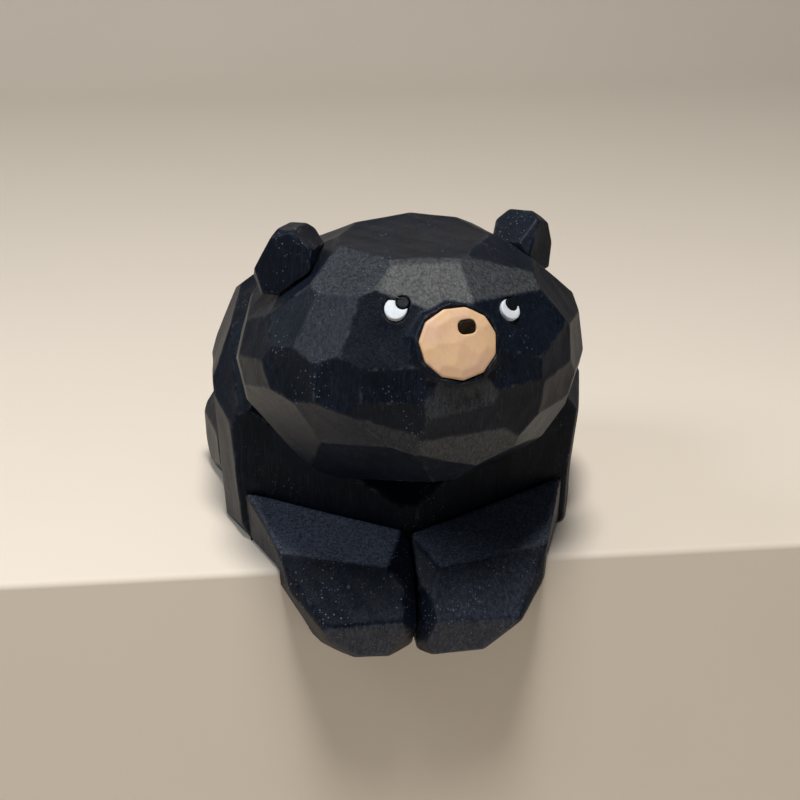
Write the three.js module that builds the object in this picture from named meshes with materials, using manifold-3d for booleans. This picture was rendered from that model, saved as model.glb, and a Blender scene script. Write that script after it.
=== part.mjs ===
// A carved wooden bear that lies on its belly on a shelf and lets its forelegs hang over the edge.
// Millimetres, +Z up. The bear faces -Y and +X is its own left side. The origin is on the flat belly,
// which rests on the shelf, midway between the forelegs.
//
// Every wooden piece starts as a plain block and is brought to shape by straight knife cuts. A cut is
// written [turn, rise, depth]: the direction it faces, as degrees turned from -Y towards +X and degrees
// raised above the horizontal, and how far it goes below the round form that the block is cut towards.
import * as THREE from "three";
import { mergeVertices } from "three/addons/utils/BufferGeometryUtils.js";
import Module from "manifold-3d";

const wasm = await Module();
wasm.setup();

// ---------------------------------------------------------------- driving dimensions
const GLUE_GAP = 0.3; // between two wooden pieces
const INLAY_GAP = 0.12; // round the small inlaid pieces of the face
const SHELF_EDGE_Y = -28; // the shelf's front face, which the forelegs hang over
const PAW_DROP = 13; // how far the forelegs reach below the shelf's top

const HEAD = { centre: [0.5, -24, 37.5], radii: [28.8, 25, 21.6], roundness: 2, turned: 12 };
const TORSO = { centre: [0.7, 4, 16], radii: [32.2, 31, 31], roundness: 1.54 };
const EAR = { centre: [20.3, 1.5, 16.6], radius: 6, turn: 38, rise: 5, front: 4, back: 4.2 };
const HIND_LEG = { centre: [20.5, 19.5, 7], radii: [12, 16.5, 12], roundness: 1.8 };
const TAIL = { centre: [0, 35, 22], radii: [5, 6, 5], roundness: 1.8 };

// The planes where two pieces meet, each by a point on it and the way it faces.
const NECK = { point: [0, -11, 30], turn: 0, rise: 39 };
const EAR_SEAT = { turn: 97, rise: 50, depth: 1.6 };
const FORELEG_SEAT = { point: [16, -20, 3.6], turn: 25, rise: 0 };
const HIND_LEG_SEAT = { point: [20.5, 17, 6], turn: 125, rise: -28 };
const TAIL_SEAT = { point: [0, 33.5, 22], turn: 180, rise: 8 };

const NECK_DOWEL = { radius: 4, length: 20 };
const LEG_DOWEL = { radius: 1.7, length: 9 };
const TENON = { radius: 2, length: 6 };
const HOLE_GAP = 0.15; // round a dowel or tenon
const HOLE_END_GAP = 0.5; // past the end of a dowel or tenon

const SNOUT = { turn: -0.5, rise: 24.5, proud: 0.1, rim: 0.24, lean: 68, sides: 11, start: 10, thick: 5 };
const MUZZLE = { radii: [6.6, 5.9], sides: 11, proud: 1.2, inset: 1.2 };
// The nose stands proud of the muzzle's highest point, or lies below it where the number is negative.
const NOSE = { width: 2.85, height: 2, corner: 0.8, proud: -0.15, inset: 1, across: 1.45, up: 2.3 };
// An eye and its pupil stand on a place that is sunk below the head's round form, as the sockets are.
const EYE = { proud: 0.35, inset: 1.4 };
const PUPIL = { proud: 0.4, inset: 2.4 };
const EYES = {
  left: { turn: 21.5, rise: 36.2, radius: 1.78, sunk: 0.55, pupil: { across: 0.68, up: 0.8, radius: 1.06 } },
  right: { turn: -20, rise: 42, radius: 1.85, sunk: 0.55, pupil: { across: 1.1, up: 0.98, radius: 1.05 } },
};

// ---------------------------------------------------------------- working with solids
const radians = THREE.MathUtils.degToRad;

function direction(turn, rise) {
  const across = Math.cos(radians(rise));
  return new THREE.Vector3(
    Math.sin(radians(turn)) * across,
    -Math.cos(radians(turn)) * across,
    Math.sin(radians(rise)),
  );
}

function solidOf(geometry, matrix) {
  const bare = geometry.clone();
  bare.deleteAttribute("normal");
  bare.deleteAttribute("uv");
  if (matrix) bare.applyMatrix4(matrix);
  const merged = mergeVertices(bare, 1e-4);
  return new wasm.Manifold(
    new wasm.Mesh({
      numProp: 3,
      vertProperties: merged.attributes.position.array,
      triVerts: new Uint32Array(merged.index.array),
    }),
  );
}

function meshOf(name, solid, material) {
  const made = solid.getMesh();
  const indexed = new THREE.BufferGeometry();
  indexed.setAttribute("position", new THREE.BufferAttribute(made.vertProperties, 3));
  indexed.setIndex(new THREE.BufferAttribute(made.triVerts, 1));
  const geometry = indexed.toNonIndexed();
  geometry.computeVertexNormals();
  const mesh = new THREE.Mesh(geometry, material);
  mesh.name = name;
  return mesh;
}

// A matrix that stands a shape's own +Z along a direction, with its own +Y kept as upright as it can be.
function facing(point, normal) {
  const side = new THREE.Vector3(0, 0, 1).cross(normal);
  if (side.lengthSq() < 1e-6) side.set(1, 0, 0);
  side.normalize();
  const upright = normal.clone().cross(side);
  return new THREE.Matrix4().makeBasis(side, upright, normal).setPosition(point);
}

// Everything beyond a plane, as a block wide enough to cut any piece here.
const BEYOND = 120;
function beyond(point, normal) {
  const block = new THREE.BoxGeometry(BEYOND, BEYOND, BEYOND);
  block.translate(0, 0, BEYOND / 2);
  return solidOf(block, facing(point, normal));
}

// Everything below the shelf's top.
const UNDER = beyond(new THREE.Vector3(0, 0, 0), new THREE.Vector3(0, 0, -1));

function rod(radius, length, matrix, sides = 16) {
  const cylinder = new THREE.CylinderGeometry(radius, radius, length, sides);
  cylinder.rotateX(Math.PI / 2);
  return solidOf(cylinder, matrix);
}

// How far a round form reaches from its centre in a direction: roundness 2 is an ellipsoid, less is boxier.
function reach(form, normal) {
  const shares = form.radii.map((r, i) => Math.abs(r * normal.getComponent(i)) ** form.roundness);
  return (shares[0] + shares[1] + shares[2]) ** (1 / form.roundness);
}

function carve(form, cuts) {
  const centre = new THREE.Vector3(...form.centre);
  const block = new THREE.BoxGeometry(...form.radii.map((r) => 2.2 * r));
  let solid = solidOf(block, new THREE.Matrix4().setPosition(centre));
  for (const [turn, rise, depth] of cuts) {
    const normal = direction(turn, rise);
    const point = centre.clone().addScaledVector(normal, reach(form, normal) - depth);
    solid = solid.subtract(beyond(point, normal));
  }
  return solid;
}

// A repeatable unevenness between -1 and 1, so that no two rows of cuts are alike.
function uneven(seed) {
  const wave = Math.sin(seed * 12.9898) * 43758.5453;
  return 2 * (wave - Math.floor(wave)) - 1;
}

// Rows of cuts round a form: each row has a rise and a count, and spans the turns from first to last.
function rows(list, first, last, seed, wander = 5) {
  const cuts = [];
  list.forEach(([rise, count], row) => {
    const step = (last - first) / count;
    for (let i = 0; i < count; i++) {
      const mark = seed + row * 31 + i * 7;
      const turn = first + step * (i + 0.5 + 0.25 * (row % 2 ? 1 : -1)) + wander * uneven(mark);
      cuts.push([turn, rise + 0.7 * wander * uneven(mark + 1), 0.25 + 0.25 * uneven(mark + 2)]);
    }
  });
  return cuts;
}

// The direction that leans off a frame's +Z by an angle, at an angle around it from its +Y.
function leaning(frame, around, lean) {
  const off = Math.sin(radians(lean));
  const across = off * Math.sin(radians(around));
  const up = off * Math.cos(radians(around));
  return new THREE.Vector3(across, up, Math.cos(radians(lean))).transformDirection(frame);
}

// A piece brought to shape by planes through given points: [turn, rise, x, y, z]. side is 1 or -1, and
// -1 makes the mirrored piece.
function planed(solid, planes, side) {
  for (const [turn, rise, x, y, z] of planes) {
    const point = new THREE.Vector3(side * x, y, z);
    solid = solid.subtract(beyond(point, direction(side * turn, rise)));
  }
  return solid;
}

// A seat's plane on one side of the body, moved along its normal by a distance.
function seatPlane(seat, side, moved = 0) {
  const normal = direction(side * seat.turn, seat.rise);
  const point = new THREE.Vector3(side * seat.point[0], seat.point[1], seat.point[2]);
  return { point: point.addScaledVector(normal, moved), normal };
}

const outsideOf = ({ point, normal }) => beyond(point, normal);
const insideOf = ({ point, normal }) => beyond(point, normal.clone().negate());

// ---------------------------------------------------------------- materials
const paint = (color, roughness) => new THREE.MeshStandardMaterial({ color, roughness, metalness: 0 });
const BLACK_PAINT = paint(0x171b22, 0.7);
const BARE_WOOD = paint(0xcaa57a, 0.75);
const TAN_WOOD = paint(0xdcb48c, 0.65);
const WHITE_ENAMEL = paint(0xe9edf2, 0.35);
const BLACK_ENAMEL = paint(0x101114, 0.4);
const BROWN_ENAMEL = paint(0x2a1b10, 0.5);

// ---------------------------------------------------------------- frames
const bear = new THREE.Group();
const headFrame = new THREE.Group();
headFrame.position.set(...HEAD.centre);
headFrame.rotation.z = radians(HEAD.turned);
bear.add(headFrame);
bear.updateMatrixWorld(true);
const intoHead = headFrame.matrixWorld.clone().invert();
const HEAD_FORM = { ...HEAD, centre: [0, 0, 0] };

const SIDES = { left: 1, right: -1 };

// ---------------------------------------------------------------- neck
// The dowel stands square to the neck's plane, under the middle of the head.
const neck = seatPlane(NECK, 1);
const headCentre = new THREE.Vector3(...HEAD.centre);
const neckMiddle = new THREE.Plane()
  .setFromNormalAndCoplanarPoint(neck.normal, neck.point)
  .projectPoint(headCentre, new THREE.Vector3());
const neckAxis = facing(neckMiddle, neck.normal);

const neckDowel = rod(NECK_DOWEL.radius, NECK_DOWEL.length, neckAxis);
const neckHole = (frame) =>
  rod(NECK_DOWEL.radius + HOLE_GAP, NECK_DOWEL.length + 2 * HOLE_END_GAP, frame.clone().multiply(neckAxis));
bear.add(meshOf("neck_dowel", neckDowel, BARE_WOOD));

// ---------------------------------------------------------------- face places
// A point on the head's round form where its surface faces a direction.
function onHead(turn, rise) {
  const normal = direction(turn, rise);
  const squares = new THREE.Vector3(...HEAD.radii.map((r) => r * r));
  const point = normal.clone().multiply(squares).divideScalar(reach(HEAD_FORM, normal));
  return { point, normal };
}

const snoutPlace = onHead(SNOUT.turn, SNOUT.rise);
const snoutEnd = snoutPlace.point.clone().addScaledVector(snoutPlace.normal, SNOUT.proud);
const snoutAxis = facing(snoutEnd, snoutPlace.normal);

// A round-sectioned inlay on the head: its axis frame, and how deep and how proud it stands.
function inlay(radius, place, inset, proud, grow, sides = 24) {
  const axis = place.clone().multiply(new THREE.Matrix4().makeTranslation(0, 0, (proud - inset) / 2));
  return rod(radius + grow, inset + proud + (grow ? 2 * INLAY_GAP : 0), axis, sides);
}

function eyePlace(eye) {
  const { point, normal } = onHead(eye.turn, eye.rise);
  return facing(point.addScaledVector(normal, -eye.sunk), normal);
}

const pupilPlace = (eye) =>
  eyePlace(eye).multiply(new THREE.Matrix4().makeTranslation(eye.pupil.across, eye.pupil.up, 0));

function eyeSolid(eye, grow = 0) {
  return inlay(eye.radius, eyePlace(eye), EYE.inset, EYE.proud, grow);
}

function pupilSolid(eye, grow = 0) {
  return inlay(eye.pupil.radius, pupilPlace(eye), PUPIL.inset, PUPIL.proud, grow);
}

// ---------------------------------------------------------------- muzzle and nose
// The muzzle is a many-sided plug on the snout's axis with a low faceted dome. Heights are measured from
// the snout's flat end.
function muzzlePlug(grow, top) {
  const height = MUZZLE.inset + grow + top;
  const plug = new THREE.CylinderGeometry(1, 1, height, MUZZLE.sides);
  plug.rotateX(Math.PI / 2);
  plug.scale(MUZZLE.radii[0] + grow, MUZZLE.radii[1] + grow, 1);
  plug.translate(0, 0, (top - MUZZLE.inset - grow) / 2);
  return solidOf(plug, snoutAxis);
}

// Each ring of the dome: how far its cuts lean, how many there are, and the height their planes reach.
const DOME_RINGS = [
  [5, 5, -0.02, 20],
  [16, 9, 0.73, 5],
];

function muzzleSolid() {
  let plug = muzzlePlug(-INLAY_GAP, MUZZLE.proud);
  for (const [lean, count, reachOut, start] of DOME_RINGS) {
    for (let i = 0; i < count; i++) {
      const normal = leaning(snoutAxis, start + (360 * i) / count, lean);
      const distance = MUZZLE.proud + reachOut;
      plug = plug.subtract(beyond(snoutEnd.clone().addScaledVector(normal, distance), normal));
    }
  }
  return plug.subtract(noseSolid(INLAY_GAP));
}

const muzzleRecess = () => muzzlePlug(0, MUZZLE.proud);

function noseSolid(grow = 0) {
  const w = NOSE.width / 2 + grow;
  const h = NOSE.height / 2 + grow;
  const r = NOSE.corner + grow;
  const outline = new THREE.Shape();
  outline.absarc(w - r, h - r, r, 0, Math.PI / 2);
  outline.absarc(-w + r, h - r, r, Math.PI / 2, Math.PI);
  outline.absarc(-w + r, -h + r, r, Math.PI, 1.5 * Math.PI);
  outline.absarc(w - r, -h + r, r, 1.5 * Math.PI, 2 * Math.PI);
  const depth = NOSE.inset + NOSE.proud + 2 * grow;
  const block = new THREE.ExtrudeGeometry(outline, { depth, bevelEnabled: false, curveSegments: 4 });
  block.translate(NOSE.across, NOSE.up, MUZZLE.proud - NOSE.inset - grow);
  return solidOf(block, snoutAxis);
}

// ---------------------------------------------------------------- ears
function earSeat(side) {
  const normal = direction(side * EAR_SEAT.turn, EAR_SEAT.rise);
  const point = normal.clone().multiplyScalar(reach(HEAD_FORM, normal) - EAR_SEAT.depth);
  return { point, normal };
}

function earTenonAxis(side) {
  const { point, normal } = earSeat(side);
  const centre = new THREE.Vector3(side * EAR.centre[0], EAR.centre[1], EAR.centre[2]);
  const plane = new THREE.Plane().setFromNormalAndCoplanarPoint(normal, point);
  return facing(plane.projectPoint(centre, new THREE.Vector3()), normal);
}

// The cuts round an ear, from its top towards its outer side: [around, lean, reach], where the bear's left
// ear is the smaller and more pointed one.
const EAR_CUTS = {
  right: [
    [0, 88, 5.5],
    [62, 90, 3.15],
    [127, 95, 5.4],
    [180, 90, 5.2],
    [-85, 90, 5.4],
    [-42, 88, 5.4],
    [14, 48, 5.9],
    [110, 52, 5.8],
    [-60, 50, 6.2],
    [10, 135, 5.8],
    [80, 130, 5.8],
    [-70, 132, 6],
  ],
  left: [
    [42, 88, 3.95],
    [-12, 88, 4.6],
    [76, 90, 2.75],
    [127, 95, 5],
    [180, 90, 5],
    [-88, 90, 4.6],
    [-42, 88, 3.5],
    [20, 48, 4.9],
    [110, 52, 5],
    [-55, 50, 4.6],
    [10, 135, 5],
    [80, 130, 5],
    [-60, 132, 4.8],
  ],
};

// An ear is a thick block with a flat front. Its cuts are given in its own frame, which faces outwards.
function earSolid(name) {
  const side = SIDES[name];
  const { point, normal } = earSeat(side);
  const centre = new THREE.Vector3(side * EAR.centre[0], EAR.centre[1], EAR.centre[2]);
  const front = direction(side * EAR.turn, EAR.rise);
  const frame = facing(centre, front);
  const block = new THREE.BoxGeometry(3 * EAR.radius, 3 * EAR.radius, EAR.front + EAR.back);
  block.translate(0, 0, (EAR.front - EAR.back) / 2);
  let ear = solidOf(block, frame);
  for (const [around, lean, distance] of EAR_CUTS[name]) {
    const facingOut = leaning(frame, side * around, lean);
    ear = ear.subtract(beyond(centre.clone().addScaledVector(facingOut, distance), facingOut));
  }
  const seat = point.clone().addScaledVector(normal, GLUE_GAP);
  ear = ear.subtract(beyond(seat, normal.clone().negate()));
  return ear.add(rod(TENON.radius, TENON.length, earTenonAxis(side)));
}

const earSocket = (side) => rod(TENON.radius + HOLE_GAP, TENON.length + 2 * HOLE_END_GAP, earTenonAxis(side));

// ---------------------------------------------------------------- head
const FACE_CUTS = [
  // crown, from its top forwards
  [-5, 84, 1.7],
  [-9, 67, 0],
  [-47, 59, 0.2],
  [41, 61, 0.2],
  // brow and temples
  [-9, 50, 0.25],
  [26, 48, 0.35],
  [-44, 32, 0.5],
  [-61, 34, 0.3],
  [56, 37, 0.2],
  // eye sockets
  [-21, 28, 1.05],
  [24, 28, 0.9],
  // cheeks, from the bear's right to its left
  [-80, 22, 0.2],
  [-55, 7, 0.3],
  [-34, 8, 0.3],
  [-20, 10, 0.6],
  [18, 12, 0.4],
  [34, 10, 0.2],
  [55, 6, 0.2],
  [77, 9, 0.2],
  // below the muzzle
  [-76, -4, 0.2],
  [-20, -5, 0.2],
  [0, -3, 0.3],
  [18, -8, 0.2],
  [37, -9, 0.2],
  [59, -15, 0.2],
  [2, -15, 0.3],
  // chin
  [-68, -36, 2.6],
  [-46, -36, 2.2],
  [-26, -23, 0.2],
  [3, -29, 0.3],
  [38, -29, 0.2],
  [64, -33, 0.2],
  [-8, -46, 0.2],
  [-42, -50, 2.6],
  [30, -52, 0.3],
  [0, -74, 0.2],
];
const HEAD_BACK_ROWS = [
  [-38, 6],
  [-12, 7],
  [14, 7],
  [38, 6],
  [62, 4],
];

// The snout is a low pyramid: its sides lean back from just outside the muzzle.
function snoutSolid() {
  const size = 2.8 * MUZZLE.radii[0];
  const block = new THREE.BoxGeometry(size, size, SNOUT.thick);
  block.translate(0, 0, -SNOUT.thick / 2);
  let solid = solidOf(block, snoutAxis);
  for (let i = 0; i < SNOUT.sides; i++) {
    const around = SNOUT.start + (360 * i) / SNOUT.sides;
    const across = MUZZLE.radii[0] * Math.sin(radians(around));
    const up = MUZZLE.radii[1] * Math.cos(radians(around));
    const reachOut = Math.hypot(across, up) + SNOUT.rim;
    const normal = leaning(snoutAxis, around, SNOUT.lean);
    const distance = reachOut * Math.sin(radians(SNOUT.lean));
    solid = solid.subtract(beyond(snoutEnd.clone().addScaledVector(normal, distance), normal));
  }
  return solid;
}

function headSolid() {
  const seats = [-EAR_SEAT.turn, EAR_SEAT.turn].map((turn) => [turn, EAR_SEAT.rise, EAR_SEAT.depth]);
  const back = rows(HEAD_BACK_ROWS, 88, 272, 3);
  let solid = carve(HEAD_FORM, [...FACE_CUTS, ...seats, ...back]).add(snoutSolid());
  const point = neck.point.clone().applyMatrix4(intoHead);
  const normal = neck.normal.clone().transformDirection(intoHead);
  solid = solid.subtract(insideOf({ point, normal })).subtract(neckHole(intoHead));
  for (const side of Object.values(SIDES)) solid = solid.subtract(earSocket(side));
  for (const eye of Object.values(EYES)) {
    solid = solid.subtract(eyeSolid(eye, INLAY_GAP)).subtract(pupilSolid(eye, INLAY_GAP));
  }
  return solid.subtract(muzzleRecess());
}

headFrame.add(meshOf("head", headSolid(), BLACK_PAINT));
headFrame.add(meshOf("muzzle", muzzleSolid(), TAN_WOOD));
headFrame.add(meshOf("nose", noseSolid(), BROWN_ENAMEL));
for (const [name, eye] of Object.entries(EYES)) {
  headFrame.add(meshOf("ear_" + name, earSolid(name), BLACK_PAINT));
  headFrame.add(meshOf("eye_" + name, eyeSolid(eye).subtract(pupilSolid(eye, INLAY_GAP)), WHITE_ENAMEL));
  headFrame.add(meshOf("pupil_" + name, pupilSolid(eye), BLACK_ENAMEL));
}

// ---------------------------------------------------------------- forelegs
// Cuts of the forelegs: the top, the outer side, the long front, the toes and the side by the other leg. The
// bear's left foreleg is the broader one.
const FORELEG_CUTS = {
  left: [
    [8, 70, 13, -22, 7],
    [4, 56, 9, -31.5, 5.6],
    [72, -4, 30, -11, 5],
    [66, -24, 19.4, -34, -7.6],
    [46, 10, 20, -35.5, -3],
    [13, 37, 9, -36, 0.6],
    [6, -17, 9, -40.4, -6],
    [4, -62, 9, -37.5, -12.6],
    [50, -44, 14.2, -37.5, -10.4],
    [-40, 48, 1.6, -34, 2.2],
    [-56, 10, 0.5, -37, -2],
    [-52, -34, 1.3, -38.5, -11],
  ],
  right: [
    [8, 70, 13, -22, 7.4],
    [6, 60, 9, -31, 6.6],
    [72, -4, 28.5, -11, 5],
    [68, -26, 17.4, -34, -7.6],
    [46, 8, 18.2, -36, -3],
    [15, 37, 9, -36, 0.8],
    [8, -17, 9, -40.4, -6],
    [2, -60, 9, -37.5, -12.6],
    [48, -46, 13, -37.5, -10.8],
    [-40, 52, 2, -33, 3],
    [-58, 14, 0.7, -36.5, -1],
    [-44, -34, 3.8, -38, -11.4],
  ],
};

// The block that each foreleg is cut from: the two meet in the middle, below the chin.
const FORELEG_BLOCK = { width: 40, length: 45, height: 40 };

function forelegSolid(side) {
  const { width, length, height } = FORELEG_BLOCK;
  const block = new THREE.BoxGeometry(width, length, height);
  block.translate((side * (width + GLUE_GAP)) / 2, -length / 2, height / 2 - PAW_DROP);
  const name = side > 0 ? "left" : "right";
  let solid = planed(solidOf(block), FORELEG_CUTS[name], side);
  const shelf = new THREE.BoxGeometry(BEYOND, BEYOND, BEYOND);
  shelf.translate(0, SHELF_EDGE_Y + BEYOND / 2, -BEYOND / 2);
  solid = solid.subtract(solidOf(shelf));
  return solid.subtract(insideOf(seatPlane(FORELEG_SEAT, side, GLUE_GAP)));
}

// ---------------------------------------------------------------- hind legs and tail
const HIND_LEG_ROWS = [
  [-28, 9],
  [0, 10],
  [28, 8],
  [56, 5],
];

// The haunch's flat back and top, and the seeds that make the two haunches differ.
const HAUNCH_CUTS = [
  [180, -4, 2],
  [0, 88, 0.5],
];
const HAUNCH_SEEDS = { 1: 40, "-1": 77 };

function hindLegSolid(side) {
  const [across, back, up] = HIND_LEG.centre;
  const form = { ...HIND_LEG, centre: [side * across, back, up] };
  const cuts = [...rows(HIND_LEG_ROWS, 0, 360, HAUNCH_SEEDS[side]), ...HAUNCH_CUTS];
  return carve(form, cuts).subtract(UNDER).subtract(insideOf(seatPlane(HIND_LEG_SEAT, side, GLUE_GAP)));
}

function legHole(seat, side, grow = HOLE_GAP, spare = 2 * HOLE_END_GAP) {
  const { point, normal } = seatPlane(seat, side);
  return rod(LEG_DOWEL.radius + grow, LEG_DOWEL.length + spare, facing(point, normal));
}

const TAIL_ROWS = [
  [-45, 4],
  [0, 6],
  [42, 4],
];

function tailTenon(grow, spare) {
  const { point, normal } = seatPlane(TAIL_SEAT, 1);
  return rod(TENON.radius + grow, TENON.length + spare, facing(point, normal));
}

function tailSolid() {
  const cuts = [...rows(TAIL_ROWS, 90, 270, 5), [180, 88, 0.3], [180, -88, 0.3]];
  const body = carve(TAIL, cuts).subtract(insideOf(seatPlane(TAIL_SEAT, 1, GLUE_GAP)));
  return body.add(tailTenon(0, 0));
}

// ---------------------------------------------------------------- torso
const TORSO_ROWS = [
  [-30, 14],
  [-2, 16],
  [24, 14],
  [48, 10],
  [70, 5],
];

// Cuts that bring the shoulders down to the neck.
const COLLAR_CUTS = [-1, 1].flatMap((side) => [
  [side * 46, 40, 6.5],
  [side * 66, 26, 2.6],
  [side * 70, 52, 3],
]);

function torsoSolid() {
  let solid = carve(TORSO, [...rows(TORSO_ROWS, 0, 360, 11), ...COLLAR_CUTS, [0, 88, 0.5]]).subtract(UNDER);
  solid = solid.subtract(outsideOf(seatPlane(NECK, 1, -GLUE_GAP)));
  solid = solid.subtract(neckHole(new THREE.Matrix4()));
  solid = solid.subtract(outsideOf(seatPlane(TAIL_SEAT, 1))).subtract(tailTenon(HOLE_GAP, 2 * HOLE_END_GAP));
  for (const side of Object.values(SIDES)) {
    for (const seat of [FORELEG_SEAT, HIND_LEG_SEAT]) {
      solid = solid.subtract(outsideOf(seatPlane(seat, side))).subtract(legHole(seat, side));
    }
  }
  return solid;
}

bear.add(meshOf("torso", torsoSolid(), BLACK_PAINT));
bear.add(meshOf("tail", tailSolid(), BLACK_PAINT));
for (const [name, side] of Object.entries(SIDES)) {
  const limbs = { foreleg: [forelegSolid, FORELEG_SEAT], hind_leg: [hindLegSolid, HIND_LEG_SEAT] };
  for (const [limb, [makeLimb, seat]] of Object.entries(limbs)) {
    const solid = makeLimb(side).subtract(legHole(seat, side));
    bear.add(meshOf(limb + "_" + name, solid, BLACK_PAINT));
    bear.add(meshOf(limb + "_dowel_" + name, legHole(seat, side, 0, 0), BARE_WOOD));
  }
}

export default bear;
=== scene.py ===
"""The looks of a carved wooden bear that hangs its forelegs over a shelf's edge.

Each wooden piece is made again from its CAD node: every flat knife cut is filled with a fine net of points,
and then its ridges are rubbed round, its middle is hollowed by the gouge, and the paint's unevenness is
added. Lengths are millimetres until a mesh is stored, and metres from there on.
"""

import math

import bmesh
import bpy
import numpy as np
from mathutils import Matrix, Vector
from mathutils.geometry import delaunay_2d_cdt


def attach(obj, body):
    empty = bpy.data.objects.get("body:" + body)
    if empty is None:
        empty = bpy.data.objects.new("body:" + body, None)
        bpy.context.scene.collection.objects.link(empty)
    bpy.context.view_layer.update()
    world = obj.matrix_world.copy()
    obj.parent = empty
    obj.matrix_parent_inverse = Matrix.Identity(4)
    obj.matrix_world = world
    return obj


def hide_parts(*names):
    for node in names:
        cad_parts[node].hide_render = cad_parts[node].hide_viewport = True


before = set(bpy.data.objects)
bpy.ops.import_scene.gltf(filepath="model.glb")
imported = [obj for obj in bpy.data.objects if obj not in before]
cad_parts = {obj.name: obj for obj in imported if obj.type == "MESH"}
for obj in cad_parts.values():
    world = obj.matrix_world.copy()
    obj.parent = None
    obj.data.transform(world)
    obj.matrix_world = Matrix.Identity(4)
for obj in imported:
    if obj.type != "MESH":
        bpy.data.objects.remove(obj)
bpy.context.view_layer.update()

MM = 0.001

# ---------------------------------------------------------------- driving values
# The camera: degrees round the bear and above the horizon, and millimetres.
CAMERA = {"azimuth": -7, "elevation": 20, "distance": 300, "frame_width": 134.4, "sensor": 36}
LOOK_AT = (-1.2, -24.1, 28.3)

# How a carved surface is worked. step is the net's spacing, ridge how far a rubbed ridge reaches to each
# side, hollow how deep a cut's middle lies (below 0 it bulges), scallop the depth of the faint gouge strokes
# in a cut, scallop_width the width of one stroke, soft how many times the net is smoothed at the end, and
# dusty_and_skylit how much dust lies on the paint; above one half it also tints the thin paint a brighter
# blue, painted sky light.
PAINTED = {
    "step": 0.45,
    "ridge": 0.26,
    "hollow": 0.12,
    "scallop": 0.05,
    "scallop_width": 4.2,
    "soft": 0,
    "dusty_and_skylit": 0.38,
}
# The forelegs: a finer net, broader rubbed ridges, full dust, and a brighter blue in their thin paint as
# painted sky light.
DUSTY_SKYLIT_LEG = {**PAINTED, "step": 0.32, "ridge": 0.9, "hollow": 0.05, "dusty_and_skylit": 1}
CARVED = {
    "head": {**PAINTED, "step": 0.34},
    "torso": {**PAINTED, "step": 0.5, "dusty_and_skylit": 0.25},
    "ear_left": {**PAINTED, "step": 0.28, "hollow": 0.1},
    "ear_right": {**PAINTED, "step": 0.28, "hollow": 0.1},
    "foreleg_left": DUSTY_SKYLIT_LEG,
    "foreleg_right": DUSTY_SKYLIT_LEG,
    "hind_leg_left": PAINTED,
    "hind_leg_right": PAINTED,
    "tail": {**PAINTED, "step": 0.4, "hollow": 0.1},
}
DROP = {
    "step": 0.12,
    "ridge": 0.25,
    "hollow": -0.1,
    "scallop": 0,
    "scallop_width": 1,
    "soft": 3,
    "dusty_and_skylit": 0,
}
BARE_DOME = {
    **DROP,
    "step": 0.2,
    "ridge": 0.3,
    "hollow": 0.05,
    "scallop": 0.02,
    "scallop_width": 2.6,
    "soft": 2,
}
INLAID = {
    "muzzle": BARE_DOME,
    "nose": DROP,
    "eye_left": DROP,
    "eye_right": DROP,
    "pupil_left": {**DROP, "hollow": 0},
    "pupil_right": {**DROP, "hollow": 0},
}

# Cuts whose paint is rubbed thin, and which are also lightened as painted light: a painted highlight on the
# brow, crown and temples, painted bounce light under the chin, and painted light on the forelegs' shaded
# tops.
# By the piece and the direction that the cut faces, as degrees turned from -Y towards +X and degrees above
# the horizontal, with how thin and how lit the paint is there.
THIN_PAINT_AND_PAINTED_LIGHT = {
    "head": [(3, 50, 1.0), (-34, 33, 0.45), (-35, 59, 0.6), (38, 48, 0.75), (3, 67, 0.8), (15, -29, 0.75),
             (12, -3, 0.65), (-34, -36, 0.35), (-16, -24, 0.5)],
    "foreleg_left": [(4, 56, 1), (8, 70, 1), (13, 37, 0.2), (6, -17, 0.4)],
    "foreleg_right": [(-6, 60, 1), (-8, 70, 1), (-8, -17, 0.4)],
}
THIN_AND_LIT_SPREAD = 9  # degrees over which the thin paint and its painted light give way to the full coat

SLOTS = {
    "muzzle": "tan_wood",
    "nose": "brown_enamel",
    "eye_left": "white_enamel",
    "eye_right": "white_enamel",
    "pupil_left": "black_enamel",
    "pupil_right": "black_enamel",
}

WELD = 0.002  # corners that are nearer than this are one
FLAT_DEGREES = 0.5  # facets that differ by less are one cut
SHARPEST = math.radians(100)  # a sharper bend is rubbed as if it were this one
NET_SHAKE = 0.1  # how far a point of the net is shaken, as a share of the step
NET_CLEAR = 0.55  # how far the net keeps from a cut's sides, as a share of the step
NARROW = 0.9  # a ridge's reach is at most this share of its cut's area over its outline
FLAT_REACH = 1.6  # how far from a cut's sides its hollow has nearly two thirds of its depth
HOLLOW_SPREAD = (0.6, 1.3)  # each cut draws its share of the hollow's depth from this range
SCALLOP_SPREAD = (0.3, 1.4)  # and its share of the scallops' depth from this one
STROKE_TURN = 0.6  # how far the gouge strokes may turn on a cut, in radians
STROKE_BEND = 0.8  # how far the strokes stray from straight
STROKE_WAVE = 9  # how long the waves of that straying are
WORN_REACH = 0.22  # how far from a ridge its paint is worn
BLUNT = 0.03  # the tangent of half a ridge's bend, below which its paint isn't worn
BLUNT_TO_SHARP = 0.12  # how much more tangent the full wear takes
FINE_GRAIN = {"depth": 0.022, "waves": (1.3, 1.3, 9)}
BROAD_GRAIN = {"depth": 0.03, "waves": (3, 3, 4)}
DRIFT = 0.17  # the hand's unsteadiness moves a point by up to 1.5 times this along each axis
DRIFT_WAVE = 11  # how long its waves are
SHELF_CALM = 2.5  # how far from the belly's height its up-and-down part is held back
UNDERSIDE = -0.97  # a normal's Z, below which a cut is the flat belly and isn't hollowed
UNDERSIDE_EDGE = 0.2  # over how much more Z the grain comes back

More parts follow.
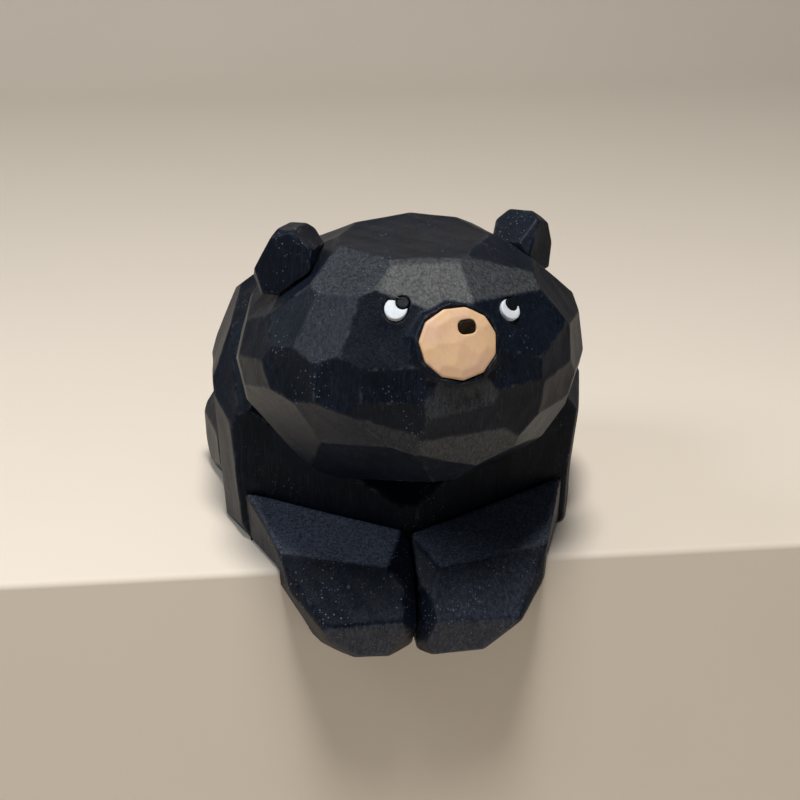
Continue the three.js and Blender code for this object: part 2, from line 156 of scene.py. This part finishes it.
# Colours, as linear red, green and blue.
BLACK = {
    "deep": (0.0022, 0.0042, 0.0078),
    "full": (0.0042, 0.0066, 0.0128),
    "streak": (0.016, 0.024, 0.044),
    "scratch": (0.045, 0.058, 0.085),
    # The next two colour the rubbed-thin paint and also lighten it further, as painted highlight and painted
    # bounce light.
    "thin_and_lit": (0.040, 0.052, 0.080),
    "thinnest_and_highlit": (0.132, 0.136, 0.132),
    # a brighter blue for the forelegs' thin paint: painted sky light on their shaded tops
    "thin_dusty_and_skylit": (0.140, 0.158, 0.215),
    "haze": (0.014, 0.019, 0.038),
    "ridge": (0.066, 0.074, 0.088),
    "dust": (0.19, 0.21, 0.30),
}
TAN = {"yellow": (0.83, 0.535, 0.28), "pink": (0.77, 0.485, 0.325), "grain": (0.62, 0.36, 0.19)}
DOWEL = {"pale": (0.62, 0.42, 0.24), "dark": (0.45, 0.27, 0.13)}
ENAMEL = {
    "white_enamel": ((0.70, 0.75, 0.80), (0.65, 0.70, 0.75)),
    "black_enamel": ((0.003, 0.004, 0.006), (0.007, 0.008, 0.011)),
    "brown_enamel": ((0.009, 0.005, 0.002), (0.018, 0.010, 0.004)),
}
PALE_SHELF = (0.84, 0.755, 0.645)
PALE_FLOOR = (0.84, 0.76, 0.66)

# The stage, which isn't part of the bear.
FLOOR = -95
SHELF_TOP = -0.25  # just below the belly
SHELF_FRONT = -27.7  # just behind the forelegs' flat backs
EDGE_RADIUS = 1.2
COVE = {"start": 420, "radius": 180, "top": 900}  # where the shelf's top curves up into the backdrop
HALF_WIDTH = 1500

# The lamps, with their power in watts, and the sky.
LAMPS = {
    "key": {
        "place": (-20, -200, 600),
        "aim": (0, -25, 20),
        "size": 170,
        "power": 3.5,
        "color": (1.0, 0.97, 0.94),
    },
    "fill": {
        "place": (-470, -70, 430),
        "aim": (0, -30, 15),
        "size": 260,
        "power": 1.1,
        "color": (0.88, 0.94, 1.0),
    },
}
SKY = {"color": (0.75, 0.87, 1.0, 1), "strength": 0.07}


# ---------------------------------------------------------------- repeatable noise
def lattice(cells, seed):
    """A value from -1 to 1 for each whole-numbered cell."""
    mixed = cells[..., 0] * 73856093 ^ cells[..., 1] * 19349663 ^ cells[..., 2] * 83492791 ^ seed * 2654435
    mixed = (mixed ^ (mixed >> 13)) * 1274126177 & 0x7FFFFFFF
    mixed = (mixed ^ (mixed >> 16)) * 2246822519 & 0x7FFFFFFF
    return (mixed ^ (mixed >> 15)) % 65536 / 32767.5 - 1


def smooth_noise(points, sizes, seed, octaves=1):
    """Value noise at points, where sizes are the lengths of its waves along X, Y and Z."""
    total = np.zeros(len(points))
    for octave in range(octaves):
        scaled = points / (np.asarray(sizes, float) / 2**octave) + 17.3 * octave
        cell = np.floor(scaled).astype(np.int64)
        part = scaled - cell
        part = part * part * (3 - 2 * part)
        value = np.zeros(len(points))
        for corner in np.ndindex(2, 2, 2):
            share = np.prod(np.where(corner, part, 1 - part), axis=1)
            value += share * lattice(cell + np.array(corner), seed + 101 * octave)
        total += value / 2**octave
    return total


# ---------------------------------------------------------------- filling cuts with points
def flat_cuts(node):
    """The node's flat cuts as a bmesh of many-sided faces, in millimetres."""
    mesh = bmesh.new()
    mesh.from_mesh(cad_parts[node].data)
    bmesh.ops.scale(mesh, vec=(1 / MM,) * 3, verts=mesh.verts)
    bmesh.ops.remove_doubles(mesh, verts=mesh.verts, dist=WELD)
    limit = math.radians(FLAT_DEGREES)
    bmesh.ops.dissolve_limit(mesh, angle_limit=limit, verts=mesh.verts, edges=mesh.edges)
    for items in (mesh.verts, mesh.edges, mesh.faces):
        items.index_update()
        items.ensure_lookup_table()
    mesh.normal_update()
    return mesh


def points_on_edges(mesh, step):
    """The corners, followed by evenly spaced points on every edge, and which of them each edge owns."""
    points = [corner.co.copy() for corner in mesh.verts]
    owned = []
    for edge in mesh.edges:
        parts = max(1, round(edge.calc_length() / step))
        first = len(points)
        start, end = edge.verts[0].co, edge.verts[1].co
        points.extend(start.lerp(end, (i + 1) / parts) for i in range(parts - 1))
        owned.append(list(range(first, len(points))))
    return points, owned


def outline_of(face, owned):
    """The numbers of the points round a face, in order."""
    around = []
    for loop in face.loops:
        around.append(loop.vert.index)
        between = owned[loop.edge.index]
        around.extend(between if loop.vert == loop.edge.verts[0] else reversed(between))
    return around


def distances(points, starts, ends):
    """How far each point is from each segment."""
    along = ends - starts
    lengths = np.maximum((along**2).sum(1), 1e-12)
    from_start = points[:, None] - starts[None]
    share = np.clip((from_start * along).sum(2) / lengths, 0, 1)
    return np.linalg.norm(from_start - share[..., None] * along, axis=2)


def inside(points, outline):
    """Which 2-D points are inside a closed outline, by counting the sides to their right."""
    x, y = points[:, :1], points[:, 1:]
    ax, ay = outline[:, 0], outline[:, 1]
    bx, by = np.roll(ax, -1), np.roll(ay, -1)
    spans = (ay > y) != (by > y)
    rise = np.where(by == ay, 1, by - ay)
    return (spans & (x < (bx - ax) * (y - ay) / rise + ax)).sum(1) % 2 == 1


def net_inside(outline, step, random):
    """A slightly shaken triangular net of 2-D points inside an outline, clear of its sides."""
    low, high = outline.min(0), outline.max(0)
    row_step = step * math.sqrt(3) / 2
    rows = np.arange(low[1] + row_step / 2, high[1], row_step)
    columns = np.arange(low[0], high[0] + step, step)
    if len(rows) == 0 or len(columns) == 0:
        return np.zeros((0, 2))
    x, y = np.meshgrid(columns, rows)
    x = x + step / 2 * (np.arange(len(rows)) % 2)[:, None]
    net = np.stack([x.ravel(), y.ravel()], 1)
    net += random.uniform(-NET_SHAKE, NET_SHAKE, net.shape) * step
    net = net[inside(net, outline)]
    clear = distances(net, outline, np.roll(outline, -1, 0)).min(1) > NET_CLEAR * step
    return net[clear]


def filled(face, around, points, step, random):
    """Fills one flat face with a net: the new 3-D points, and triangles that number around + new."""
    normal = face.normal
    across = normal.orthogonal().normalized()
    up = normal.cross(across)
    middle = face.calc_center_median()
    basis = np.array([across, up])
    outline = (np.array([points[i] for i in around]) - np.array(middle)) @ basis.T
    net = net_inside(outline, step, random)
    flat = [Vector(p) for p in np.vstack([outline, net])]
    count = len(around)
    _, _, triangles, sources = delaunay_2d_cdt(flat, [], [list(range(count))], 1, 1e-7)[:4]
    number = [source[0] if source else None for source in sources]
    if None in number:
        raise ValueError("a cut crosses itself")
    faces = [[number[i] for i in triangle] for triangle in triangles]
    new = net @ basis + np.array(middle)
    return new, faces, basis


# ---------------------------------------------------------------- working a cut
def ridge_width(face, reach):
    """How far a ridge may be rubbed on a face: less on a narrow one."""
    round_it = sum(edge.calc_length() for edge in face.edges)
    return min(reach, NARROW * face.calc_area() / round_it)


def sides_of(face, reach):
    """For each side of a face: its ends, the tangent of half its bend (negative in a groove), and reach."""
    found = []
    for edge in face.edges:
        other = next(other for other in edge.link_faces if other != face)
        bend = min(face.normal.angle(other.normal, 0), SHARPEST)
        half = math.tan(bend / 2) * (1 if edge.is_convex else -1)
        width = min(ridge_width(face, reach), ridge_width(other, reach))
        found.append([*edge.verts[0].co, *edge.verts[1].co, half, width])
    return np.array(found)


def worked(face, here, basis, look, random):
    """How far the points on one cut move along its normal, and how worn they are."""
    sides = sides_of(face, look["ridge"])
    away = distances(here, sides[:, :3], sides[:, 3:6])
    half, width = sides[:, 6], sides[:, 7]
    rubbed = (half * np.maximum(width - away, 0) ** 2 / (2 * width)).sum(1)
    nearest = away.min(1)
    middle = 0 if face.normal.z < UNDERSIDE else 1 - np.exp(-nearest / FLAT_REACH)
    angle = random.uniform(-STROKE_TURN, STROKE_TURN)
    stroke = math.cos(angle) * basis[0] + math.sin(angle) * basis[1]
    if abs(stroke[2]) > 0.6:  # strokes run up and down the grain, so they lie side by side across it
        stroke = np.cross(np.array(face.normal), stroke)
    phase = random.uniform(0, 1)
    bent = here @ stroke + STROKE_BEND * smooth_noise(here, (STROKE_WAVE,) * 3, 41)
    across = (bent / look["scallop_width"] + phase) % 1 * 2 - 1
    depth = look["hollow"] * random.uniform(*HOLLOW_SPREAD)
    scallop = look["scallop"] * random.uniform(*SCALLOP_SPREAD) * (1 - across**2)
    moved = -rubbed - middle * (depth + scallop)
    sharpness = np.clip((np.abs(half) - BLUNT) / BLUNT_TO_SHARP, 0, 1)
    wear = (np.exp(-((away / WORN_REACH) ** 2)) * sharpness * (half > 0)).max(1)
    return moved, wear


def thinness_and_light(node, face):
    """How thin the paint is on a cut, and how much painted highlight and bounce light it takes for the way
    it faces, from 0 for the full coat to 1.
    """
    normal = face.normal
    turn = math.degrees(math.atan2(normal.x, -normal.y))
    rise = math.degrees(math.asin(normal.z))
    shares = [0]
    for thin_turn, thin_rise, amount in THIN_PAINT_AND_PAINTED_LIGHT.get(node, []):
        across = (turn - thin_turn) * math.cos(math.radians(rise))
        shares.append(amount * math.exp(-math.hypot(across, rise - thin_rise) ** 2 / THIN_AND_LIT_SPREAD**2))
    return max(shares)


def shaken(points):
    """The hand's unsteadiness: a slow drift of every piece alike, which keeps their joints closed."""
    waves = (DRIFT_WAVE,) * 3
    drift = DRIFT * np.stack([smooth_noise(points, waves, seed, 2) for seed in (3, 5, 7)], 1)
    drift[:, 2] *= np.clip(np.abs(points[:, 2]) / SHELF_CALM, 0, 1)
    return points + drift


def soften(made, times):
    """Smooths a mesh a number of times."""
    axes = {"use_axis_x": True, "use_axis_y": True, "use_axis_z": True}
    mesh = bmesh.new()
    mesh.from_mesh(made)
    for _ in range(times):
        bmesh.ops.smooth_vert(mesh, verts=mesh.verts, factor=0.5, **axes)
    mesh.to_mesh(made)
    mesh.free()


def netted(mesh, step, random):
    """A node's points and triangles, and for each cut its face, the numbers of its points and its axes."""
    corners, owned = points_on_edges(mesh, step)
    points = [list(corner) for corner in corners]
    faces, sheets = [], []
    for face in mesh.faces:
        around = outline_of(face, owned)
        new, triangles, basis = filled(face, around, points, step, random)
        numbers = around + list(range(len(points), len(points) + len(new)))
        points.extend(new.tolist())
        faces.extend([numbers[i] for i in triangle] for triangle in triangles)
        sheets.append((face, np.array(numbers), basis))
    return np.array(points), faces, sheets


def wood_grain(points, normals):
    """How far the grain moves each point, except on the flat belly."""
    fine = FINE_GRAIN["depth"] * smooth_noise(points, FINE_GRAIN["waves"], 11)
    broad = BROAD_GRAIN["depth"] * smooth_noise(points, BROAD_GRAIN["waves"], 13, 2)
    calm = np.clip((normals[:, 2] - UNDERSIDE) / UNDERSIDE_EDGE, 0, 1)
    return ((fine + broad) * calm)[:, None] * normals


def work_cuts(node, points, sheets, look, random):
    """The points after the knife's work, and the marks that the paint reads, one value for each point."""
    total = np.zeros((len(points), 3))
    normals = np.zeros((len(points), 3))
    shared = np.zeros(len(points))
    marks = {key: np.zeros(len(points)) for key in ("wear", "cut", "thin_and_lit")}
    for face, numbers, basis in sheets:
        moved, wear = worked(face, points[numbers], basis, look, random)
        normal = np.array(face.normal)
        total[numbers] += moved[:, None] * normal
        normals[numbers] += normal
        shared[numbers] += 1
        marks["wear"][numbers] = np.maximum(marks["wear"][numbers], wear)
        marks["cut"][numbers] += random.uniform(0, 1)
        # the thin paint's share, which also carries painted highlight and bounce light for the way the cut
        # faces
        marks["thin_and_lit"][numbers] += thinness_and_light(node, face)
    for key in ("cut", "thin_and_lit"):
        marks[key] /= shared
    # how dusty the piece is, which on the forelegs also brings in the painted sky light
    marks["dusty_and_skylit"] = np.full(len(points), look["dusty_and_skylit"])
    normals /= np.maximum(np.linalg.norm(normals, axis=1), 1e-9)[:, None]
    if look["scallop"]:
        total += wood_grain(points, normals)
    return shaken(points + total / shared[:, None]), marks


def carved(name, node, look):
    """A fine mesh of a CAD node's shape with the knife's work on it."""
    random = np.random.default_rng(sum(map(ord, node)))
    mesh = flat_cuts(node)
    points, faces, sheets = netted(mesh, look["step"], random)
    points, marks = work_cuts(node, points, sheets, look, random)
    mesh.free()
    made = bpy.data.meshes.new(name)
    made.from_pydata((points * MM).tolist(), [], faces)
    for key, values in marks.items():
        attribute = made.attributes.new(key, "FLOAT", "POINT")
        attribute.data.foreach_set("value", values.astype(np.float32))
    made.polygons.foreach_set("use_smooth", np.ones(len(made.polygons), bool))
    made.update()
    if look["soft"]:
        soften(made, look["soft"])
    piece = bpy.data.objects.new(name, made)
    bpy.context.scene.collection.objects.link(piece)
    return piece


# ---------------------------------------------------------------- material helpers
class Paint:
    """A material with its nodes made by short calls. Lengths in textures are in millimetres."""

    def __init__(self, name):
        self.material = bpy.data.materials.new(name)
        self.material.use_nodes = True
        self.tree = self.material.node_tree
        self.tree.nodes.clear()
        self.shader = self.add("ShaderNodeBsdfPrincipled")
        output = self.add("ShaderNodeOutputMaterial")
        self.tree.links.new(self.shader.outputs[0], output.inputs["Surface"])
        place = self.add("ShaderNodeTexCoord").outputs["Object"]
        scale = self.add("ShaderNodeVectorMath", operation="SCALE")
        self.join(place, scale.inputs[0])
        scale.inputs["Scale"].default_value = 1 / MM
        self.place = scale.outputs[0]

    def add(self, kind, **settings):
        """A new node with its settings."""
        node = self.tree.nodes.new(kind)
        for key, value in settings.items():
            setattr(node, key, value)
        return node

    def join(self, source, target):
        """Links a socket to an input, or stores a plain value in it."""
        if hasattr(source, "is_output"):
            self.tree.links.new(source, target)
        else:
            target.default_value = source

    def set(self, **values):
        """Joins values to the shader's inputs, named with _ for each space."""
        for key, value in values.items():
            self.join(value, self.shader.inputs[key.replace("_", " ")])

    def mark(self, name):
        """A value that the mesh carries at each point, such as wear."""
        return self.add("ShaderNodeAttribute", attribute_name=name).outputs["Fac"]

    def math(self, operation, a, b):
        node = self.add("ShaderNodeMath", operation=operation)
        self.join(a, node.inputs[0])
        self.join(b, node.inputs[1])
        return node.outputs[0]

    def times(self, *values):
        total = values[0]
        for value in values[1:]:
            total = self.math("MULTIPLY", total, value)
        return total

    def fit(self, value, low, high, to_low=0.0, to_high=1.0):
        """A value's place between low and high, as a value between to_low and to_high."""
        node = self.add("ShaderNodeMapRange", clamp=True)
        self.join(value, node.inputs["Value"])
        for key, number in zip(("From Min", "From Max", "To Min", "To Max"), (low, high, to_low, to_high)):
            self.join(number, node.inputs[key])
        return node.outputs["Result"]

    def mix(self, share, a, b):
        """A colour between a and b, nearer to b for a larger share."""
        node = self.add("ShaderNodeMix", data_type="RGBA")
        self.join(share, node.inputs["Factor"])
        self.join((*a, 1) if isinstance(a, tuple) else a, node.inputs["A"])
        self.join((*b, 1) if isinstance(b, tuple) else b, node.inputs["B"])
        return node.outputs["Result"]

    def stretched(self, sizes):
        """The place, with the wave lengths of what reads it along X, Y and Z."""
        node = self.add("ShaderNodeVectorMath", operation="DIVIDE")
        self.join(self.place, node.inputs[0])
        node.inputs[1].default_value = sizes
        return node.outputs[0]

    def noise(self, sizes, detail=2.0, rough=0.5, twist=0.0):
        """Cloudy noise with waves of the given lengths along X, Y and Z."""
        node = self.add("ShaderNodeTexNoise")
        self.join(self.stretched(sizes), node.inputs["Vector"])
        node.inputs["Scale"].default_value = 1
        node.inputs["Detail"].default_value = detail
        node.inputs["Roughness"].default_value = rough
        node.inputs["Distortion"].default_value = twist
        return node.outputs["Fac"]

    def specks(self, size, radius):
        """1 in round specks of a radius, about one in each cell of a size, 0 outside them."""
        node = self.add("ShaderNodeTexVoronoi")
        self.join(self.stretched((size, size, size)), node.inputs["Vector"])
        node.inputs["Scale"].default_value = 1
        pick = self.fit(self.first_channel(node.outputs["Color"]), 0.45, 0.95, 0, radius / size)
        return self.math("LESS_THAN", node.outputs["Distance"], pick)

    def first_channel(self, color):
        """The red of a colour, as a plain value."""
        node = self.add("ShaderNodeSeparateColor")
        self.join(color, node.inputs[0])
        return node.outputs[0]

    def bump(self, height, depth, under=None):
        """Bump of a height from 0 to 1 and a depth in millimetres."""
        node = self.add("ShaderNodeBump")
        self.join(height, node.inputs["Height"])
        node.inputs["Strength"].default_value = 1
        node.inputs["Distance"].default_value = depth * MM
        if under:
            self.join(under, node.inputs["Normal"])
        return node.outputs["Normal"]


def black_paint(name, gloss):
    """Thin matt black paint on knife-cut wood: brushed along the grain, thin in places, rubbed and dusty,
    with painted highlight and bounce light on the cuts that face the lamps and the floor, and painted sky
    light on the forelegs' tops.
    """
    p = Paint(name)
    grain = p.noise((0.34, 0.34, 6), 4, 0.65)
    scratch = p.noise((0.36, 0.36, 4.2), 2, 0.5, 0.4)
    patches = p.noise((9, 9, 12), 3, 0.6)
    speckle = p.noise((0.28, 0.28, 0.34), 3, 0.75)
    base = p.mix(p.fit(patches, 0.35, 0.7), BLACK["deep"], BLACK["full"])
    streaks = p.times(p.fit(grain, 0.46, 0.68), p.fit(p.noise((5, 5, 9), 2), 0.35, 0.6))
    base = p.mix(p.times(streaks, 0.5), base, BLACK["streak"])
    scratched = p.times(p.fit(scratch, 0.6, 0.68), p.fit(p.noise((7, 7, 8), 2), 0.45, 0.6), p.mark("cut"))
    base = p.mix(p.times(scratched, 0.4), base, BLACK["scratch"])
    mottle = p.noise((0.5, 0.5, 1.5), 4, 0.75)
    scuffed = p.fit(p.math("ADD", p.times(mottle, 0.6), p.times(speckle, 0.4)), 0.41, 0.6, 0.22, 1)
    # Thin paint and painted light: the listed cuts show the worn, thin paint and are lightened further as
    # painted highlight and bounce light, and on the dusty forelegs as a brighter blue, painted sky light.
    thin_and_lit = p.mark("thin_and_lit")
    under = p.mix(thin_and_lit, BLACK["thin_and_lit"], BLACK["thinnest_and_highlit"])
    under = p.mix(p.fit(p.mark("dusty_and_skylit"), 0.5, 1), under, BLACK["thin_dusty_and_skylit"])
    haze = p.times(p.fit(mottle, 0.5, 0.66), p.fit(p.mark("dusty_and_skylit"), 0.2, 1, 0.3, 1))
    base = p.mix(haze, base, BLACK["haze"])
    base = p.mix(p.times(p.fit(thin_and_lit, 0, 1, 0, 0.9), scuffed), base, under)
    rubbed = p.times(p.mark("wear"), p.fit(p.noise((1.6, 1.6, 2.4), 3, 0.7), 0.5, 0.66), 0.6)
    base = p.mix(rubbed, base, BLACK["ridge"])
    coarse = p.math("MAXIMUM", p.specks(1.4, 0.18), p.specks(5.5, 0.3))
    dust = p.math("MAXIMUM", p.specks(0.45, 0.13), coarse)
    drifts = p.math("ADD", p.noise((8, 8, 8), 3), p.times(p.mark("dusty_and_skylit"), 0.18))
    dust = p.times(dust, p.fit(drifts, 0.56, 0.74))
    base = p.mix(p.times(dust, 0.85), base, BLACK["dust"])
    p.set(Base_Color=base)
    unevenness = p.math("ADD", p.times(speckle, 0.5), p.times(patches, 0.5))
    p.set(Roughness=p.fit(unevenness, 0.35, 0.65, 0.34, 0.47))
    p.set(Specular_IOR_Level=gloss)
    stroke = p.bump(grain, 0.05)
    fine = p.bump(speckle, 0.05, stroke)
    p.set(Normal=p.bump(dust, 0.05, fine))
    return p.material


def tan_wood():
    """The bare muzzle: pale pinkish tan with a soft grain."""
    p = Paint("tan_wood")
    grain = p.noise((0.5, 0.5, 5), 4, 0.6, 0.3)
    patches = p.noise((4.2, 4.2, 4.6), 3, 0.6)
    base = p.mix(p.fit(patches, 0.36, 0.64), TAN["yellow"], TAN["pink"])
    base = p.mix(p.fit(grain, 0.35, 0.75, 0, 0.35), base, TAN["grain"])
    p.set(Base_Color=base)
    p.set(Roughness=p.fit(grain, 0.3, 0.7, 0.5, 0.66))
    p.set(Subsurface_Weight=0.05)
    p.set(Normal=p.bump(grain, 0.02, p.bump(patches, 0.05)))
    return p.material


def enamel(name, rough, gloss):
    """A drop of enamel: brush marks and a little unevenness in colour and gloss."""
    p = Paint(name)
    color, second = ENAMEL[name]
    p.set(Specular_IOR_Level=gloss)
    patches = p.noise((0.8, 0.8, 0.9), 3, 0.6)
    p.set(Base_Color=p.mix(p.fit(patches, 0.35, 0.7), color, second))
    p.set(Roughness=p.fit(patches, 0.3, 0.7, rough - 0.06, rough + 0.1))
    p.set(Normal=p.bump(p.noise((0.5, 0.5, 0.6), 2), 0.03))
    return p.material


def bare_wood():
    """The dowels: straight pale grain."""
    p = Paint("bare_wood")
    grain = p.noise((0.6, 4, 4), 4, 0.6, 0.4)
    p.set(Base_Color=p.mix(p.fit(grain, 0.3, 0.7), DOWEL["pale"], DOWEL["dark"]))
    p.set(Roughness=p.fit(grain, 0.3, 0.7, 0.6, 0.75))
    p.set(Normal=p.bump(grain, 0.04))
    return p.material


def plain(name, color):
    """A matt studio surface with the least unevenness in it."""
    p = Paint(name)
    darker = tuple(0.96 * channel for channel in color)
    p.set(Base_Color=p.mix(p.noise((60, 60, 60), 2), color, darker))
    p.set(Roughness=0.85)
    return p.material


# ---------------------------------------------------------------- the bear
materials = {
    "black_paint": black_paint("black_paint", 0.13),
    # A duller copy of the black paint for the torso: its lower gloss is painted shade, standing for the
    # head's shade over the chest.
    "shaded_torso_paint": black_paint("shaded_torso_paint", 0.08),
    "tan_wood": tan_wood(),
    "white_enamel": enamel("white_enamel", 0.45, 0.2),
    "black_enamel": enamel("black_enamel", 0.5, 0.1),
    "brown_enamel": enamel("brown_enamel", 0.5, 0.12),
    "bare_wood": bare_wood(),
}

for node, look in {**CARVED, **INLAID}.items():
    slot = SLOTS.get(node, "black_paint")
    piece = carved(node + "_carved", node, look)
    # The torso takes the duller copy of the paint, painted shade under the head.
    piece.data.materials.append(materials["shaded_torso_paint" if node == "torso" else slot])
    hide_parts(node)
    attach(piece, "root")

for node, cad_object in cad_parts.items():
    if "dowel" in node:
        cad_object.data.materials.clear()
        cad_object.data.materials.append(materials["bare_wood"])


# ---------------------------------------------------------------- stage
def sweep(name, profile, color):
    """A surface that runs along X with a given (y, z) profile, in millimetres."""
    mesh = bpy.data.meshes.new(name)
    corners = [(side * HALF_WIDTH * MM, y * MM, z * MM) for y, z in profile for side in (-1, 1)]
    quads = [(2 * i, 2 * i + 1, 2 * i + 3, 2 * i + 2) for i in range(len(profile) - 1)]
    mesh.from_pydata(corners, [], quads)
    mesh.polygons.foreach_set("use_smooth", np.ones(len(quads), bool))
    mesh.materials.append(plain(name, color))
    stand = bpy.data.objects.new(name, mesh)
    bpy.context.scene.collection.objects.link(stand)


def arc(centre, radius, start, end, count=16):
    """Points on an arc in the (y, z) plane, in degrees from +Y towards +Z."""
    turns = [math.radians(start + (end - start) * i / count) for i in range(count + 1)]
    return [(centre[0] + radius * math.cos(t), centre[1] + radius * math.sin(t)) for t in turns]


shelf_profile = [(SHELF_FRONT, FLOOR)]
shelf_profile += arc((SHELF_FRONT + EDGE_RADIUS, SHELF_TOP - EDGE_RADIUS), EDGE_RADIUS, 180, 90)
shelf_profile += arc((COVE["start"], SHELF_TOP + COVE["radius"]), COVE["radius"], -90, 0)
shelf_profile += [(COVE["start"] + COVE["radius"], COVE["top"])]
sweep("shelf", shelf_profile, PALE_SHELF)
sweep("floor", [(-HALF_WIDTH, FLOOR), (SHELF_FRONT, FLOOR)], PALE_FLOOR)


# ---------------------------------------------------------------- light
def soft_light(name, place, aim, size, power, color):
    """A round lamp that the camera doesn't see."""
    data = bpy.data.lights.new(name, "AREA")
    data.shape = "DISK"
    data.size = size * MM
    data.energy = power
    data.color = color
    lamp = bpy.data.objects.new(name, data)
    lamp.location = Vector(place) * MM
    direction = (Vector(aim) - Vector(place)).normalized()
    lamp.rotation_euler = direction.to_track_quat("-Z", "Y").to_euler()
    lamp.visible_camera = False
    bpy.context.scene.collection.objects.link(lamp)


for name, lamp in LAMPS.items():
    soft_light(name, **lamp)

world = bpy.data.worlds.new("studio")
world.use_nodes = True
background = world.node_tree.nodes["Background"]
background.inputs["Color"].default_value = SKY["color"]
background.inputs["Strength"].default_value = SKY["strength"]
bpy.context.scene.world = world
bpy.context.scene.view_settings.view_transform = "Standard"

# ---------------------------------------------------------------- camera
lens = bpy.data.cameras.new("camera")
lens.sensor_width = CAMERA["sensor"]
lens.lens = CAMERA["sensor"] * CAMERA["distance"] / CAMERA["frame_width"]
lens.clip_start = 0.01
lens.clip_end = 20
turn, rise = math.radians(CAMERA["azimuth"]), math.radians(CAMERA["elevation"])
back = Vector((math.sin(turn) * math.cos(rise), -math.cos(turn) * math.cos(rise), math.sin(rise)))
camera = bpy.data.objects.new("camera", lens)
camera.location = (Vector(LOOK_AT) + back * CAMERA["distance"]) * MM
camera.rotation_euler = (-back).to_track_quat("-Z", "Y").to_euler()
bpy.context.scene.collection.objects.link(camera)
bpy.context.scene.camera = camera
